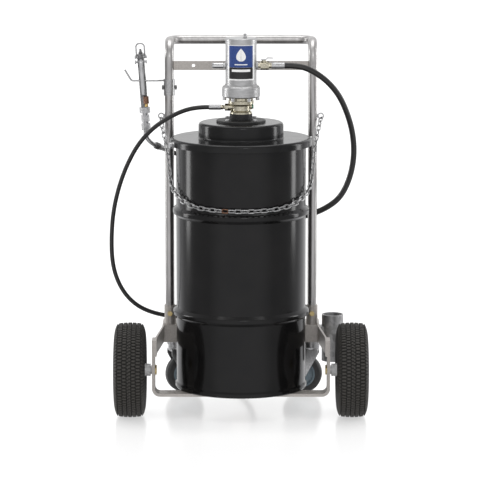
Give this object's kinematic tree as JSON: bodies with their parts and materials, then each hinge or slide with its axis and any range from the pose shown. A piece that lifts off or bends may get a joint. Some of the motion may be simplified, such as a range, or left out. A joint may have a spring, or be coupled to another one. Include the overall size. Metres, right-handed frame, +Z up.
{
  "type": "wheeled drum grease pump",
  "caption": "Air-powered piston pump on a covered steel drum, carried by a two-wheel cart with swivel casters, a hung control gun and two hoses.",
  "frame": {"origin": "on the floor, midway between the tyres' outer faces and 252 mm behind the tyres' front", "axes": "+X to the right, +Y away from the front, +Z up"},
  "size_m": [0.7113, 0.5425, 1.04],
  "materials": {
    "cart_paint": "satin silver-grey paint",
    "bright_tube": "satin bright steel tube",
    "zinc": "bright zinc plate",
    "yellow_zinc": "yellow zinc plate",
    "galvanised": "galvanised",
    "tyre_rubber": "matt black rubber",
    "caster_rubber": "black rubber",
    "caster_disc": "blue-grey moulded core",
    "drum_black": "gloss black enamel",
    "black_metal": "satin black",
    "nickel": "nickel plate",
    "motor_silver": "satin cast aluminium",
    "label": "printed label, blue over black with a white border",
    "green_plastic": "green plastic plug",
    "hose_rubber": "smooth black hose cover",
    "chrome": "polished chrome",
    "gun_metal": "dark grey cast metal",
    "steel": "plain machined steel",
    "gasket_rubber": "rubber"
  },
  "bodies": {
    "cart": {"air_hose": "hose_rubber", "air_plug": "nickel", "air_valve_body": "nickel", "axle_bolts": "yellow_zinc", "base_strap": "cart_paint", "caster_pads": "cart_paint", "caster_plates": "zinc", "chain": "zinc", "chain_eyes": "zinc", "down_tube": "steel", "drum_lid": "drum_black", "drum_shell": "drum_black", "flat_crossbar": "cart_paint", "frame_bolts": "yellow_zinc", "grease_hose": "hose_rubber", "gun_bail": "zinc", "gun_body": "gun_metal", "gun_inlet": "nickel", "gun_lever_pin": "zinc", "gun_swivel_elbow": "chrome", "handle_tube": "bright_tube", "hook_clamp": "zinc", "hook_rod": "zinc", "hose_ferrules": "nickel", "label_plate": "label", "leg_sockets": "cart_paint", "lid_gasket": "gasket_rubber", "lid_screws": "zinc", "motor_base": "motor_silver", "motor_cap": "motor_silver", "motor_cylinder": "motor_silver", "mount_flange": "black_metal", "muffler": "steel", "outlet_body": "nickel", "outlet_fitting": "nickel", "outlet_plug": "green_plastic", "packing_collar": "black_metal", "pump_holder_pipe": "galvanised", "pump_screws": "zinc", "rear_crossmember": "cart_paint", "rear_strap": "cart_paint", "side_arms": "cart_paint"},
    "wheel_left": {"tyre_left": "tyre_rubber", "rim_left": "zinc", "wheel_bearings_left": "steel"},
    "wheel_right": {"tyre_right": "tyre_rubber", "rim_right": "zinc", "wheel_bearings_right": "steel"},
    "caster_swivel_left": {"caster_fork_left": "zinc"},
    "caster_swivel_right": {"caster_fork_right": "zinc"},
    "caster_wheel_left": {"caster_tyre_left": "caster_rubber", "caster_core_left": "caster_disc"},
    "caster_wheel_right": {"caster_tyre_right": "caster_rubber", "caster_core_right": "caster_disc"},
    "trigger": {"gun_lever": "chrome"},
    "valve_handle": {"air_valve_lever": "zinc"},
    "piston": {"pump_piston": "steel"},
    "follower": {"follower_plate": "black_metal", "follower_wiper": "gasket_rubber"}
  },
  "joints": [
    {"name": "wheel_left_spin", "type": "hinge", "parent": "cart", "child": "wheel_left", "pos_m": [-0.302, -0.123, 0.129], "axis": [1, 0, 0], "continuous": true},
    {"name": "wheel_right_spin", "type": "hinge", "parent": "cart", "child": "wheel_right", "pos_m": [0.302, -0.123, 0.129], "axis": [1, 0, 0], "continuous": true},
    {"name": "caster_swivel_left_turn", "type": "hinge", "parent": "cart", "child": "caster_swivel_left", "pos_m": [-0.182, 0.1845, 0.14], "axis": [0, 0, 1], "continuous": true},
    {"name": "caster_swivel_right_turn", "type": "hinge", "parent": "cart", "child": "caster_swivel_right", "pos_m": [0.198, 0.1845, 0.14], "axis": [0, 0, 1], "continuous": true},
    {"name": "caster_wheel_left_spin", "type": "hinge", "parent": "caster_swivel_left", "child": "caster_wheel_left", "pos_m": [-0.15945, 0.19271, 0.055], "axis": [-0.342, 0.9397, 0], "continuous": true},
    {"name": "caster_wheel_right_spin", "type": "hinge", "parent": "caster_swivel_right", "child": "caster_wheel_right", "pos_m": [0.17423, 0.18784, 0.055], "axis": [-0.1392, -0.9903, 0], "continuous": true},
    {"name": "gun_lever_squeeze", "type": "hinge", "parent": "cart", "child": "trigger", "pos_m": [-0.27553, 0.089, 0.94953], "axis": [0.9976, 0, 0.0698], "range_deg": [0, 7], "stiffness_Nm_per_rad": 2, "springref_deg": -1.72},
    {"name": "air_valve_turn", "type": "hinge", "parent": "cart", "child": "valve_handle", "pos_m": [0.062, -0.031, 0.96], "axis": [0, 0, 1], "range_deg": [0, 90]},
    {"name": "pump_stroke", "type": "slide", "parent": "cart", "child": "piston", "axis": [0, 0, 1], "range_m": [0, 0.06]},
    {"name": "follower_slide", "type": "slide", "parent": "cart", "child": "follower", "axis": [0, 0, 1], "range_m": [-0.395, 0.2]}
  ]
}
